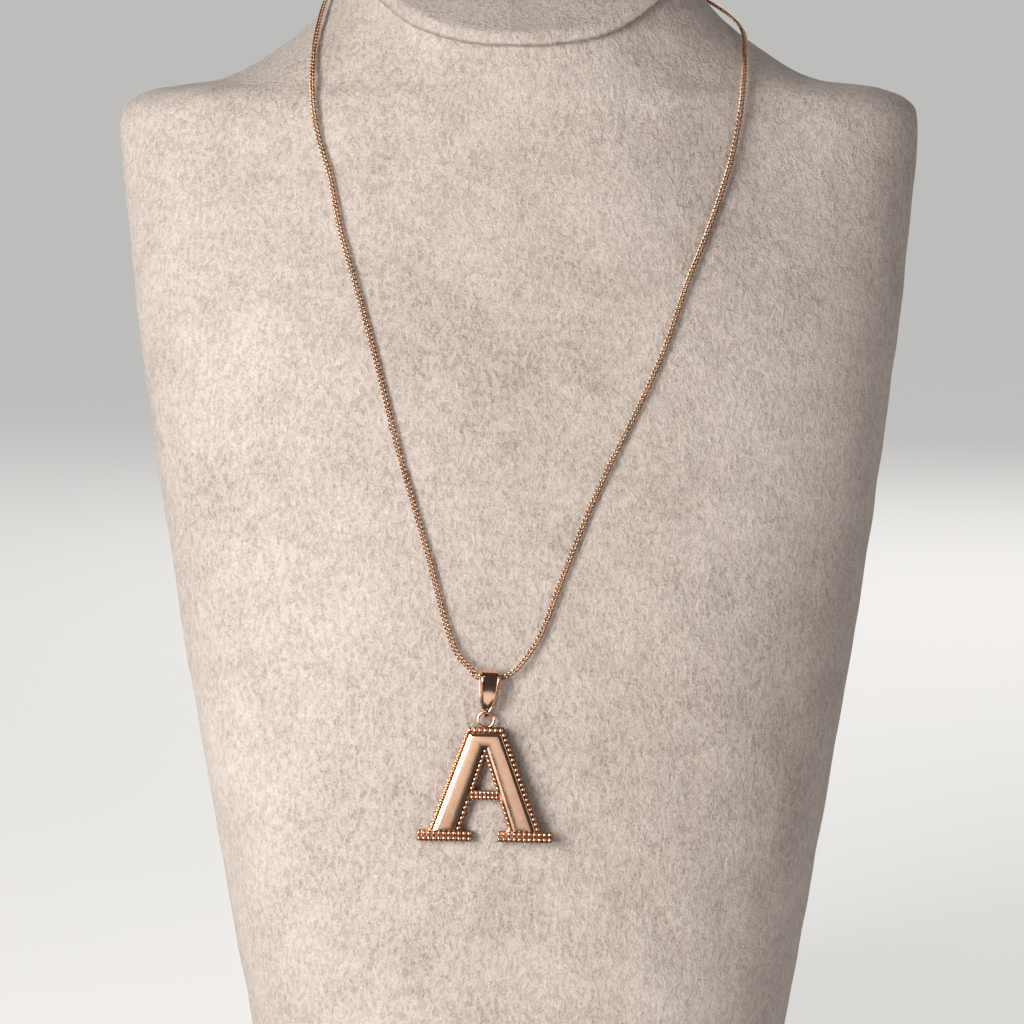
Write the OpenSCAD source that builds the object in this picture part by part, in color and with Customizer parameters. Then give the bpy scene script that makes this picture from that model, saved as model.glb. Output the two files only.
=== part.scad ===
// Initial pendant on a fine chain, worn by a plain velvet neck bust. Millimetres, +Z up.
// The origin is the centre of the bust's base, and the bust faces -Y.

/* [Bust] */
// Width across the shoulders
shoulder_w = 200; // [175:1:230]
// Height of the shoulders above the base
shoulder_h = 257; // [225:1:290]
// Width of the base
base_w = 125; // [105:1:150]
// Depth of the base
base_d = 119; // [112:1:145]
// Width of the neck
neck_w = 81; // [74:1:96]
// Height of the neck's back rim above the shoulders
neck_rise = 62; // [54:1:76]
// Height of the neck's front rim above the shoulders
front_rise = 10.5; // [8:0.5:18]
// How far the front of the neck stands behind the front of the base
front_lean = 46; // [36:1:52]
// How far the back of the shoulders stands in front of the back of the base
back_lean = 6; // [0:1:12]
// Depth of the hollow above each collar bone
hollow_depth = 5; // [0:0.5:9]

/* [Chain] */
// Thickness of the chain
chain_d = 1.55; // [1.2:0.05:2]
// Gap between a piece and what it lies on
seat_gap = 0.3; // [0.2:0.05:0.6]

/* [Clasp] */
// Width of the clasp's ring
clasp_d = 6.5; // [6:0.5:9]
// Thickness of the clasp's ring
clasp_wire = 1.3; // [1:0.1:1.8]
// Length of the collar on each side of the ring
collar_l = 2.6; // [1.5:0.1:4]
// Thickness of the collars
collar_d = 2; // [1.6:0.1:2.6]

/* [Bail] */
// Width of the bail at its top
bail_w = 4.5; // [4:0.1:5.5]
// Length of the bail between the centres of its two round ends
bail_l = 7.7; // [7:0.1:9]
// Thickness of the bail's strap
strap_t = 0.8; // [0.6:0.05:1]
// Radius of the hollow at the top of the bail
bail_top_r = 1.5; // [1.4:0.05:2]
// Radius of the hollow at the foot of the bail
bail_eye_r = 0.7; // [0.65:0.05:0.9]
// Gap between the chain and the top of the bail
hang_gap = 0.15; // [0.1:0.05:0.3]
// Width of the raised rims on the bail
bail_rim_w = 0.45; // [0.3:0.05:0.7]
// Depth of the smooth field between the rims
field_depth = 0.2; // [0.1:0.05:0.3]
// Turn of the bail about the upright
bail_yaw = 10; // [0:1:15]
// Tilt of the bail in its own plane
bail_roll = 5; // [0:1:8]

/* [Letter] */
// Height of the letter
letter_h = 27.3; // [26:0.1:32]
// Width of the letter over its feet
letter_w = 32.5; // [31:0.1:38]
// Width of the letter at its top
letter_top_w = 8.7; // [8:0.1:10]
// Width of the two legs, outside to outside, where they meet the feet
legs_w = 27; // [25:0.1:29]
// Width of one foot
foot_w = 13.25; // [12.5:0.05:14]
// Height of the feet
foot_h = 2.6; // [2.3:0.05:3]
// Thickness of the plate
plate_t = 1.9; // [1.5:0.1:2.5]
// Depth of the counter's point below the top edge
counter_top = 7.2; // [6.8:0.1:8]
// Width of the opening between the legs where they meet the feet
gap_w = 11.7; // [11:0.1:13]
// Depth of the cross bar's upper edge below the top edge
bar_top = 15; // [14:0.1:16]
// Height of the cross bar
bar_h = 2.3; // [2.1:0.05:2.8]
// Radius of the fillets and small corners
corner_r = 0.8; // [0.4:0.1:1.2]
// Turn of the letter about the upright
letter_yaw = 6; // [0:1:10]

/* [Raised face] */
// Height of the smooth face above the plate
face_rise = 1; // [0.6:0.1:1.4]
// Width of the beaded rim along the legs
rim_w = 1.15; // [1.1:0.05:1.4]
// Depth of the face's upper edge below the plate's top edge
face_top = 1.6; // [1.4:0.05:1.9]
// Width of the slope along the outside of the legs
outer_slope = 0.8; // [0.4:0.05:1]
// Width of the slope along the top edge
top_slope = 0.6; // [0.3:0.05:0.8]
// Width of the slope along the inside of the legs
inner_slope = 0.45; // [0.2:0.05:0.6]

/* [Beads] */
// Width of one bead
bead_d = 0.96; // [0.8:0.02:0.98]
// Width of the bead at the counter's point
point_bead_d = 1.15; // [1:0.05:1.3]
// Distance from an edge to the middle of its row of beads
bead_inset = 0.6; // [0.54:0.01:0.66]
// Beads across the top
top_beads = 7; // [5:1:7]
// Beads down the outside of each leg
outer_beads = 20; // [14:1:20]
// Beads down each side of the counter
counter_beads = 8; // [5:1:8]
// Beads down each side of the lower opening
lower_beads = 6; // [4:1:6]
// Beads along each row of a foot
foot_beads = 11; // [8:1:12]
// Beads along each row of the cross bar
bar_beads = 7; // [5:1:7]

/* [Ring] */
// Width of the ring's hole
ring_hole = 3.1; // [3:0.1:4]
// Thickness of the ring's wire
ring_wire = 0.7; // [0.6:0.05:0.8]
// Height of the ring's middle above the letter's top edge
ring_up = 1.8; // [1.6:0.05:1.9]

/* [Hidden] */

// The bust is a stack of rounded sections. Heights are shares of shoulder_h, and widths go from base_w (0) to
// shoulder_w (1). The front goes back by shares of front_lean, the back comes forward by shares of back_lean.
// Columns: height, width, front, back, squareness of the front, squareness of the back
TORSO = [
    [0.00, 0.00, 0.00, 0.00, 2.5, 3.2],
    [0.10, 0.12, 0.04, 0.10, 2.5, 3.2],
    [0.20, 0.245, 0.09, 0.25, 2.5, 3.2],
    [0.30, 0.36, 0.145, 0.40, 2.5, 3.2],
    [0.40, 0.475, 0.21, 0.55, 2.5, 3.2],
    [0.50, 0.59, 0.285, 0.70, 2.5, 3.1],
    [0.60, 0.69, 0.375, 0.85, 2.5, 3.0],
    [0.70, 0.79, 0.49, 0.95, 2.5, 2.9],
    [0.80, 0.88, 0.635, 1.00, 2.4, 2.8],
    [0.88, 0.94, 0.76, 1.00, 2.2, 2.7],
    [0.94, 0.985, 0.855, 1.00, 2.0, 2.6],
    [0.97, 0.99, 0.90, 1.00, 1.92, 2.6],
    [0.985, 0.94, 0.925, 1.00, 1.88, 2.6]
];
// Above the shoulders heights are shares of neck_rise, and widths go from neck_w (0) to shoulder_w (1).
// Columns: height, width, front, back, squareness of the front, squareness of the back
NECK = [
    [-0.012, 0.84, 0.935, 1.02, 1.88, 2.6],
    [0.016, 0.60, 0.945, 1.06, 2.0, 2.5],
    [0.066, 0.465, 0.96, 1.30, 2.05, 2.4],
    [0.148, 0.33, 0.98, 1.60, 1.95, 2.3],
    [0.263, 0.175, 1.00, 1.90, 1.8, 2.2],
    [0.411, 0.06, 1.02, 2.30, 1.8, 2.1],
    [0.592, 0.005, 1.02, 2.40, 1.9, 2.0],
    [1.00, 0.00, 1.00, 2.40, 2.0, 2.0],
    [1.10, 0.00, 1.00, 2.40, 2.0, 2.0]
];
// Middle of each collar hollow, as shares of the half width and of shoulder_h, and its reach
HOLLOW_AT = [0.64, 0.945];
HOLLOW_REACH = [0.2, 0.085];

// The chain's route over the bust, chosen by hand, from the left side of the neck down to the bail and up
// to the right side. Columns: distance from the middle as a share of half of shoulder_w, height as a share
// of shoulder_h, how far it stands off the bust as a share of chain_d, where it bridges a bend
ROUTE_LEFT = [
    [-0.488, 1.046, 0.4], [-0.497, 1.020, 0.4], [-0.498, 0.995, 0.5], [-0.490, 0.970, 0.4],
    [-0.476, 0.944, 0], [-0.453, 0.915, 0], [-0.430, 0.870, 0], [-0.386, 0.811, 0], [-0.335, 0.740, 0],
    [-0.290, 0.671, 0], [-0.216, 0.572, 0], [-0.178, 0.515, 0], [-0.148, 0.483, 0], [-0.122, 0.471, 0]
];
ROUTE_RIGHT = [
    [-0.018, 0.4635, 0], [0.007, 0.473, 0], [0.052, 0.499, 0], [0.102, 0.549, 0], [0.163, 0.608, 0],
    [0.227, 0.662, 0], [0.289, 0.709, 0], [0.352, 0.763, 0], [0.401, 0.817, 0], [0.458, 0.870, 0],
    [0.506, 0.924, 0], [0.524, 0.955, 0.2], [0.536, 0.984, 0.5], [0.545, 1.010, 0.5], [0.547, 1.030, 0.4]
];
// The way round the neck. Columns: angle from the front, height as a share of neck_rise, how far it stands
// off as a share of chain_d
ROUTE_NECK_LEFT = [[82, 0.345, 0.3], [104, 0.41, 0.2], [128, 0.45, 0.1], [148, 0.47, 0.1], [165, 0.475, 0]];
ROUTE_NECK_RIGHT = [[80, 0.206, 0.4], [98, 0.296, 0.3], [124, 0.40, 0.2], [146, 0.46, 0.1], [165, 0.475, 0]];
// Where the chain passes through the bail, in the columns of the route
BAIL_ON_ROUTE = [-0.071, 0.4615];
// Height of the clasp as a share of neck_rise
CLASP_RISE = 0.475;
// How far along the chain the bail lifts it off the bust
LIFT_REACH = 11;

// Front outline of the bail. Columns: depth below its top as a share of its whole length, width as a share
// of bail_w
BAIL_OUTLINE = [
    [0.00, 0.86], [0.04, 0.97], [0.10, 1.00], [0.30, 0.92], [0.50, 0.82], [0.66, 0.70],
    [0.76, 0.57], [0.82, 0.42], [0.86, 0.28], [1.00, 0.24]
];

// The bail's smooth field ends above its narrow foot, at this depth in the columns of the outline
FIELD_END = 0.84;
// Heights of the two rows of beads on each foot and on the cross bar, as shares of its height
BEAD_ROWS = [0.25, 0.75];

RING_POINTS = 72;
CHAIN_SIDES = 8;
ARC_STEPS = 5;
CUT = 1;

function mix(a, b, t) = a + (b - a) * t;
function unit(v) = v / norm(v);

// A smooth curve through four neighbouring rows, at the share t between the middle two
function blend4(a, b, c, d, t) =
    0.5 * (2 * b + (c - a) * t + (2 * a - 5 * b + 4 * c - d) * t * t + (3 * b - a - 3 * c + d) * t * t * t);
function smooth_rows(rows, steps) = let (last = len(rows) - 1) [
    for (i = [0 : last - 1], k = [0 : steps - 1])
        blend4(rows[max(i - 1, 0)], rows[i], rows[i + 1], rows[min(i + 2, last)], k / steps),
    rows[last]
];

// Bust sections in millimetres: height, half width, front, back, squareness of the front and of the back
torso_rows = [for (r = TORSO) [
    r[0] * shoulder_h, mix(base_w, shoulder_w, r[1]) / 2,
    -base_d / 2 + r[2] * front_lean, base_d / 2 - r[3] * back_lean, r[4], r[5]
]];
neck_rows = [for (r = NECK) [
    shoulder_h + r[0] * neck_rise, mix(neck_w, shoulder_w, r[1]) / 2,
    -base_d / 2 + r[2] * front_lean, base_d / 2 - r[3] * back_lean, r[4], r[5]
]];
sections = smooth_rows(concat(torso_rows, neck_rows), 2);
function column(i) = [for (s = sections) [s[0], s[i]]];
widths = column(1);
fronts = column(2);
backs = column(3);
front_squares = column(4);
back_squares = column(5);

function signed_power(v, p) = sign(v) * pow(abs(v), p);
function hollow(share, z) = hollow_depth
    * exp(-pow((share - HOLLOW_AT[0]) / HOLLOW_REACH[0], 2))
    * exp(-pow((z / shoulder_h - HOLLOW_AT[1]) / HOLLOW_REACH[1], 2));
// The point of the bust at an angle from the front, seen from above, and a height
function on_bust(angle, z) = let (
    half = lookup(z, widths),
    front = lookup(z, fronts),
    back = lookup(z, backs),
    square = lookup(z, cos(angle) > 0 ? front_squares : back_squares),
    share = signed_power(sin(angle), 2 / square),
    sunk = max(cos(angle), 0) * hollow(abs(share), z)
) [half * share, mix(front, back, 0.5) - (back - front) / 2 * signed_power(cos(angle), 2 / square) + sunk, z];
function bust_normal(angle, z) = let (
    around = on_bust(angle + 2, z) - on_bust(angle - 2, z),
    up = on_bust(angle, z + 2) - on_bust(angle, z - 2)
) unit(cross(around, up));
function off_bust(angle, z, off) = on_bust(angle, z) + off * bust_normal(angle, z);
// The angle of the front point that lies x from the middle
function angle_at(x, z) = let (share = min(abs(x) / lookup(z, widths), 1))
    sign(x) * asin(pow(share, lookup(z, front_squares) / 2));
function front_y(x, z) = on_bust(angle_at(x, z), z)[1];

// Turns a point of a piece that leans, rolls and turns as rotate([-lean, roll, yaw]) does
function turned(p, lean, roll, yaw) = let (
    y1 = p[1] * cos(lean) + p[2] * sin(lean),
    z1 = p[2] * cos(lean) - p[1] * sin(lean),
    x2 = p[0] * cos(roll) + z1 * sin(roll),
    z2 = z1 * cos(roll) - p[0] * sin(roll)
) [x2 * cos(yaw) - y1 * sin(yaw), x2 * sin(yaw) + y1 * cos(yaw), z2];

// The bail turns about the chain's middle line. It stands off the bust by its own back.
bail_x = BAIL_ON_ROUTE[0] * shoulder_w / 2;
bail_z = BAIL_ON_ROUTE[1] * shoulder_h;
bail_top_c = chain_d / 2 + hang_gap - bail_top_r;
bail_foot_c = bail_top_c - bail_l;
bail_top = bail_top_c + bail_top_r + strap_t;
bail_foot = bail_foot_c - bail_eye_r - strap_t;
bail_back = (bail_top_r + strap_t) * cos(bail_yaw) + bail_w / 2 * sin(bail_yaw);
bail_at = [bail_x, front_y(bail_x, bail_z) - bail_back - seat_gap, bail_z];
// It leans forward as far as its foot needs to clear the bust
foot_back = bail_eye_r + strap_t + seat_gap;
bail_lean = asin((bail_at[1] + foot_back - front_y(bail_x, bail_z + bail_foot_c)) / -bail_foot_c);

// The letter turns about the wire at the top of its ring, in the hollow at the foot of the bail
ring_r = (ring_hole + ring_wire) / 2;
ring_drop = ring_r + ring_up;
letter_at = bail_at + turned([0, 0, bail_foot_c], bail_lean, bail_roll, bail_yaw);
letter_reach = ring_drop + letter_h;
// It leans forward as far as its deeper foot needs to clear the bust
deep_foot_x = letter_at[0] - letter_w / 2 * cos(letter_yaw);
deep_foot_y = letter_at[1] + plate_t / 2 + letter_w / 2 * sin(letter_yaw) + seat_gap;
letter_lean = asin((deep_foot_y - front_y(deep_foot_x, letter_at[2] - letter_reach)) / letter_reach);

// The clasp lies on the back of the neck
clasp_z = shoulder_h + CLASP_RISE * neck_rise;
clasp_at = [0, lookup(clasp_z, backs) + seat_gap + max(clasp_wire, collar_d) / 2, clasp_z];
collar_end = clasp_d / 2 - clasp_wire / 2 + collar_l;

// Chain: points off the bust, through the bail along its own axis, and on to the clasp's collars
chain_off = chain_d / 2 + seat_gap;
bail_off = bail_back + seat_gap;
function lift(p) = (bail_off - chain_off) * exp(-pow(norm(p - bail_at) / LIFT_REACH, 2));
function route_point(r) = let (
    x = r[0] * shoulder_w / 2,
    z = r[1] * shoulder_h,
    off = chain_off + r[2] * chain_d,
    low = off_bust(angle_at(x, z), z, off)
) off_bust(angle_at(x, z), z, off + lift(low));
function neck_point(r, side) =
    off_bust(side * r[0], shoulder_h + r[1] * neck_rise, chain_off + r[2] * chain_d);
bail_axis = turned([1, 0, 0], bail_lean, bail_roll, bail_yaw);
// It runs straight as far as this on each side of the bail's middle
through = 0.62 * bail_w;
function reversed(list) = [for (i = [len(list) - 1 : -1 : 0]) list[i]];
left_way = concat(
    [clasp_at - [collar_end, 0, 0]],
    [for (r = reversed(ROUTE_NECK_LEFT)) neck_point(r, -1)],
    [for (r = ROUTE_LEFT) route_point(r)],
    [bail_at - through * bail_axis]
);
right_way = concat(
    [bail_at + through * bail_axis],
    [for (r = ROUTE_RIGHT) route_point(r)],
    [for (r = ROUTE_NECK_RIGHT) neck_point(r, 1)],
    [clasp_at + [collar_end, 0, 0]]
);
chain_path = concat(smooth_rows(left_way, 2), smooth_rows(right_way, 2));

// Skins a stack of closed loops that all have the same number of points and run clockwise, seen from the
// last one. A cap is one face, or the convex faces that it is split into.
module skin(loops, caps = []) {
    sides = len(loops[0]);
    last = len(loops) - 1;
    points = [for (loop = loops, p = loop) p];
    walls = [for (i = [0 : last - 1], j = [0 : sides - 1], half = [0, 1]) let (
        a = i * sides + j,
        b = i * sides + (j + 1) % sides
    ) half == 0 ? [a, b, b + sides] : [a, b + sides, a + sides]];
    head = len(caps) > 0 ? caps : [[for (j = [0 : sides - 1]) j]];
    polyhedron(points, concat(
        [for (f = head) reversed(f)],
        walls,
        [for (f = head) [for (j = f) last * sides + j]]
    ));
}

module bust() {
    rings = concat([sections[0] - [CUT, 0, 0, 0, 0, 0]], sections);
    neck_front = [lookup(shoulder_h + front_rise, fronts), shoulder_h + front_rise];
    neck_back = [lookup(shoulder_h + neck_rise, backs), shoulder_h + neck_rise];
    slope = neck_back - neck_front;
    color([0.78, 0.73, 0.69]) difference() {
        skin([for (s = rings) [
            for (j = [0 : RING_POINTS - 1]) let (p = on_bust(-360 * j / RING_POINTS, max(s[0], 0)))
                [p[0], p[1], s[0]]
        ]]);
        translate([-shoulder_w, -base_d, -2 * CUT]) cube([2 * shoulder_w, 2 * base_d, 2 * CUT]);
        translate([0, neck_front[0], neck_front[1]]) rotate([atan2(slope[1], slope[0]), 0, 0])
            translate([-shoulder_w, -base_d, 0]) cube([2 * shoulder_w, 3 * base_d, neck_rise * 2]);
    }
}

module chain() {
    last = len(chain_path) - 1;
    color([0.80, 0.58, 0.47]) skin([for (i = [0 : last]) let (
        ahead = unit(chain_path[min(i + 1, last)] - chain_path[max(i - 1, 0)]),
        outward = unit(cross(ahead, [0, 0, 1])),
        across = cross(ahead, outward)
    ) [for (j = [0 : CHAIN_SIDES - 1]) chain_path[i]
        + chain_d / 2 * (cos(360 * j / CHAIN_SIDES) * outward + sin(360 * j / CHAIN_SIDES) * across)
    ]]);
}

module clasp() {
    color([0.80, 0.58, 0.47]) translate(clasp_at) {
        rotate([90, 0, 0]) rotate_extrude($fn = 48)
            translate([(clasp_d - clasp_wire) / 2, 0]) circle(d = clasp_wire, $fn = 24);
        for (side = [-1, 1])
            translate([side * (clasp_d / 2 - clasp_wire / 2), 0, 0]) rotate([0, side * 90, 0])
                cylinder(h = collar_l - seat_gap, d = collar_d, $fn = 24);
    }
}

// Points along a part of a circle
function arc(centre, r, from, to, steps) = [for (i = [0 : steps])
    centre + r * [cos(mix(from, to, i / steps)), sin(mix(from, to, i / steps))]
];

// Outline of a loop seen from the side: two round ends and the straight sides that touch both
module loop_side(top_r, foot_r) {
    tilt = asin((top_r - foot_r) / bail_l);
    polygon(concat(
        arc([0, bail_top_c], top_r, -tilt, 180 + tilt, 24),
        arc([0, bail_foot_c], foot_r, 180 + tilt, 360 - tilt, 16)
    ));
}

// The bail's front outline, or the part of it that lies inside the rims
module bail_front(inset) {
    length = bail_top - bail_foot;
    right = [for (r = BAIL_OUTLINE) if (inset == 0 || r[0] < FIELD_END)
        [r[1] * bail_w / 2 - inset, bail_top - r[0] * length]];
    rotate([90, 0, 0]) linear_extrude(4 * bail_top_r, center = true)
        polygon(concat(right, [for (p = reversed(right)) [-p[0], p[1]]]));
}

module along_x(w) {
    rotate([90, 0, 90]) linear_extrude(w, center = true) children();
}

module bail() {
    color([0.83, 0.60, 0.47]) translate(bail_at) rotate([-bail_lean, bail_roll, bail_yaw]) difference() {
        intersection() {
            along_x(bail_w + CUT) loop_side(bail_top_r + strap_t, bail_eye_r + strap_t);
            bail_front(0);
        }
        along_x(bail_w + 2 * CUT) loop_side(bail_top_r, bail_eye_r);
        // The smooth field on the front, between the rims
        intersection() {
            bail_front(bail_rim_w);
            along_x(bail_w) difference() {
                translate([-bail_w, bail_foot_c]) square([bail_w, bail_l]);
                loop_side(bail_top_r + strap_t - field_depth, bail_eye_r + strap_t - field_depth);
            }
        }
    }
}

// The letter's own places, from the top edge down: x across, z up, y back
foot_top = letter_h - foot_h;
foot_in = letter_w / 2 - foot_w;
outer_rate = (legs_w - letter_top_w) / 2 / foot_top;
inner_rate = gap_w / 2 / (foot_top - counter_top);
function outer_x(depth) = letter_top_w / 2 + outer_rate * depth;
function inner_x(depth) = inner_rate * (depth - counter_top);
outer_run = sqrt(1 + outer_rate * outer_rate);
inner_run = sqrt(1 + inner_rate * inner_rate);

// The right half of the outline, clockwise from the top, with round corners and fillets
function half_outline() = let (
    r = corner_r / 2,
    right = letter_w / 2,
    outer_c = corner_r * (outer_run - outer_rate),
    inner_c = corner_r * (inner_run + inner_rate),
    arch = [inner_x(bar_top + bar_h), -bar_top - bar_h],
    arch_c = corner_r * (inner_run - inner_rate),
    outer_turn = atan(outer_rate),
    inner_turn = atan(inner_rate)
) concat(
    [[outer_x(0), 0]],
    arc([outer_x(foot_top) + outer_c, corner_r - foot_top], corner_r, 180 + outer_turn, 270, ARC_STEPS),
    arc([right - r, -foot_top - r], r, 90, 0, ARC_STEPS),
    arc([right - r, r - letter_h], r, 0, -90, ARC_STEPS),
    arc([foot_in + r, r - letter_h], r, 270, 180, ARC_STEPS),
    arc([foot_in + r, -foot_top - r], r, 180, 90, ARC_STEPS),
    arc([inner_x(foot_top) - inner_c, corner_r - foot_top], corner_r, -90, inner_turn, ARC_STEPS),
    arc(arch - [arch_c, corner_r], corner_r, inner_turn, 90, ARC_STEPS)
);

module letter_outline() {
    half = half_outline();
    difference() {
        polygon(concat(half, [for (p = reversed(half)) [-p[0], p[1]]]));
        // The counter
        polygon([[0, -counter_top], [inner_x(bar_top), -bar_top], [-inner_x(bar_top), -bar_top]]);
    }
}

// A line moved to its right, and the crossing of two lines
function moved(a, b, by) = let (d = unit(b - a)) [a + by * [d[1], -d[0]], b + by * [d[1], -d[0]]];
function crossing(p, q) = let (
    u = p[1] - p[0],
    v = q[1] - q[0],
    w = q[0] - p[0],
    t = (w[0] * v[1] - w[1] * v[0]) / (u[0] * v[1] - u[1] * v[0])
) p[0] + t * u;
function inset_outline(points, by) = let (n = len(points)) [for (i = [0 : n - 1]) crossing(
    moved(points[(i + n - 1) % n], points[i], by[(i + n - 1) % n]),
    moved(points[i], points[(i + 1) % n], by[i])
)];

// The smooth face: the outline of the legs inside the beaded rims, raised, with sloping sides
module face() {
    top_x = outer_x(face_top) - rim_w * outer_run;
    out_x = outer_x(foot_top) - rim_w * outer_run;
    in_x = inner_x(foot_top) + rim_w * inner_run;
    point_z = point_depth - 0.6 * point_bead_d;
    point_x = inner_x(point_z) + rim_w * inner_run;
    // Clockwise from the outer lower right corner, each point with the slope of the side that follows it
    rim = [
        [out_x, -foot_top, 0], [in_x, -foot_top, inner_slope], [point_x, -point_z, inner_slope],
        [-point_x, -point_z, inner_slope], [-in_x, -foot_top, 0], [-out_x, -foot_top, outer_slope],
        [-top_x, -face_top, top_slope], [top_x, -face_top, outer_slope]
    ];
    low = [for (p = rim) [p[0], p[1]]];
    high = inset_outline(low, [for (p = rim) p[2]]);
    rotate([90, 0, 0]) skin([
        [for (p = low) [p[0], p[1], plate_t / 4]],
        [for (p = low) [p[0], p[1], plate_t / 2]],
        [for (p = high) [p[0], p[1], plate_t / 2 + face_rise]]
    ], [[0, 1, 2, 7], [2, 3, 6, 7], [3, 4, 5, 6]]);
}

// Where rows of beads meet, their nearest beads are this far apart
bead_step = 1.3 * bead_d;
point_depth = counter_top - 1.3 * point_bead_d;

module bead(x, depth, d = bead_d) {
    translate([x, -plate_t / 2, -depth]) sphere(d = d, $fn = 24);
}

function even(from, to, count) = [for (i = [0 : count - 1]) mix(from, to, i / (count - 1))];

module beads() {
    leg_end = foot_top - bead_step / 2;
    top_half = letter_top_w / 2 - bead_inset;
    bar_half = inner_x(bar_top + bar_h / 2);
    for (x = even(-top_half, top_half, top_beads)) bead(x, bead_inset);
    bead(0, point_depth, point_bead_d);
    for (side = [-1, 1]) {
        for (depth = even(bead_inset + bead_step, leg_end, outer_beads))
            bead(side * (outer_x(depth) - bead_inset * outer_run), depth);
        for (depth = even(point_depth + bead_step, bar_top - bead_d / 2, counter_beads))
            bead(side * (inner_x(depth) + bead_inset * inner_run), depth);
        for (depth = even(bar_top + bar_h + bead_step / 2, leg_end, lower_beads))
            bead(side * (inner_x(depth) + bead_inset * inner_run), depth);
        for (x = even(foot_in + bead_inset, letter_w / 2 - bead_inset, foot_beads), row = BEAD_ROWS)
            bead(side * x, foot_top + row * foot_h);
    }
    for (x = even(-bar_half, bar_half, bar_beads), row = BEAD_ROWS) bead(x, bar_top + row * bar_h);
}

module letter() {
    color([0.84, 0.64, 0.54]) translate(letter_at) rotate([-letter_lean, 0, -letter_yaw]) {
        translate([0, 0, -ring_drop]) {
            rotate([90, 0, 0]) linear_extrude(plate_t, center = true) letter_outline();
            face();
            beads();
        }
        translate([0, 0, -ring_r]) rotate([90, 0, 0]) rotate_extrude($fn = 64)
            translate([ring_r, 0]) circle(d = ring_wire, $fn = 24);
    }
}

bust();
chain();
clasp();
bail();
letter();
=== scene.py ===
# %% [markdown]
# # An initial pendant on a neck bust
#
# The object is a small cast letter A in rose gold, with beaded edges. It hangs from a tapered bail on a fine
# curb chain, and the chain lies round a shop display bust covered in pale velvet. This lesson dresses the
# plain CAD model with the pieces that the eye looks for: the nap of the velvet, the links of the chain, the
# beads of the letter and the polish of the metal.
#
# The CAD model comes in first, as a fixed frame. Everything that follows is measured from it.

# %% Load the frame
import math
from bisect import bisect_right

import bmesh
import bpy
from mathutils import Matrix, Vector, noise
from mathutils.bvhtree import BVHTree


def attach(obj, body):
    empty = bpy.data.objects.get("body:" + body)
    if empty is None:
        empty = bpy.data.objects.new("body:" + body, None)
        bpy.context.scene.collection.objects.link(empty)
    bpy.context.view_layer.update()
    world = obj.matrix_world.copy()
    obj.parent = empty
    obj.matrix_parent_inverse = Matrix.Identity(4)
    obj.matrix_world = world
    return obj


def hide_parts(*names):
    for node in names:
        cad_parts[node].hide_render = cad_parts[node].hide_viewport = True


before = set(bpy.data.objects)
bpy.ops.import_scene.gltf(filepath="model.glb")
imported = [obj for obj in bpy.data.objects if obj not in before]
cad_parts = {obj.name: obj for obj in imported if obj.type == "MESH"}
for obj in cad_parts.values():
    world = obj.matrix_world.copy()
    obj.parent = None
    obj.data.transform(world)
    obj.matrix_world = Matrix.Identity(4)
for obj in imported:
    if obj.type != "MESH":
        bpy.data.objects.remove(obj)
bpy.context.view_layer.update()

MM = 0.001
print("The frame holds", ", ".join(sorted(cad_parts)))

# %% [markdown]
# ## The camera
#
# A jewellery photo is taken from a distance with a long lens, so that the near parts don't swell. The camera
# stands a little over a metre away and seven degrees above the level of the letter. The bust fills the frame,
# and the frame cuts off the top of the neck and the foot of the bust. The lens is worked out from the width
# that the frame shows at the middle of the bust. The picture is then shifted by seven of its pixels, which
# moves the bust a little to the right without turning the camera.

# %% Place the camera
CAMERA_HEIGHT = 7
CAMERA_DISTANCE = 1.1
LOOK_AT = Vector((0, 0, 0.152))
FRAME_WIDTH = 0.25426
SHIFT_PIXELS, PICTURE_PIXELS = -7, 1024
NEAREST_SEEN = 0.01

tilt = math.radians(CAMERA_HEIGHT)
bpy.ops.object.camera_add(
    location=LOOK_AT + CAMERA_DISTANCE * Vector((0, -math.cos(tilt), math.sin(tilt))),
    rotation=(math.pi / 2 - tilt, 0, 0),
)
camera = bpy.context.object
camera.data.lens = camera.data.sensor_width * CAMERA_DISTANCE / FRAME_WIDTH
camera.data.shift_x = SHIFT_PIXELS / PICTURE_PIXELS
camera.data.clip_start = NEAREST_SEEN
bpy.context.scene.camera = camera
bpy.context.scene.view_settings.view_transform = "Standard"
print("The lens is", round(camera.data.lens), "mm long")

# %% [markdown]
# ## Working as by hand
#
# Blender's operators act on whatever is selected, so each step selects one object and nothing else. The first
# helper does that, and the second adds a modifier and applies it at once, so that a finished piece is a plain
# mesh. The third takes a piece from the place where it was easy to model to the place where it belongs, and
# leaves the object itself at the origin. The last one shades a piece smooth, but keeps the edges that are
# sharper than the angle it is given.

# %% Helpers to select, modify, place and smooth a piece
def only(obj):
    if bpy.context.object and bpy.context.object.mode != "OBJECT":
        bpy.ops.object.mode_set(mode="OBJECT")
    bpy.ops.object.select_all(action="DESELECT")
    obj.select_set(True)
    bpy.context.view_layer.objects.active = obj
    return obj


def modify(obj, kind, **settings):
    only(obj)
    modifier = obj.modifiers.new(kind.lower(), kind)
    for name, value in settings.items():
        setattr(modifier, name, value)
    bpy.ops.object.modifier_apply(modifier=modifier.name)
    return obj


def settle(obj, place=None):
    only(obj)
    if place is not None:
        obj.matrix_world = place
    bpy.ops.object.transform_apply(location=True, rotation=True, scale=True)
    return obj


def smooth(obj, angle=180):
    only(obj)
    bpy.ops.object.shade_smooth_by_angle(angle=math.radians(angle))
    return obj


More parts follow.
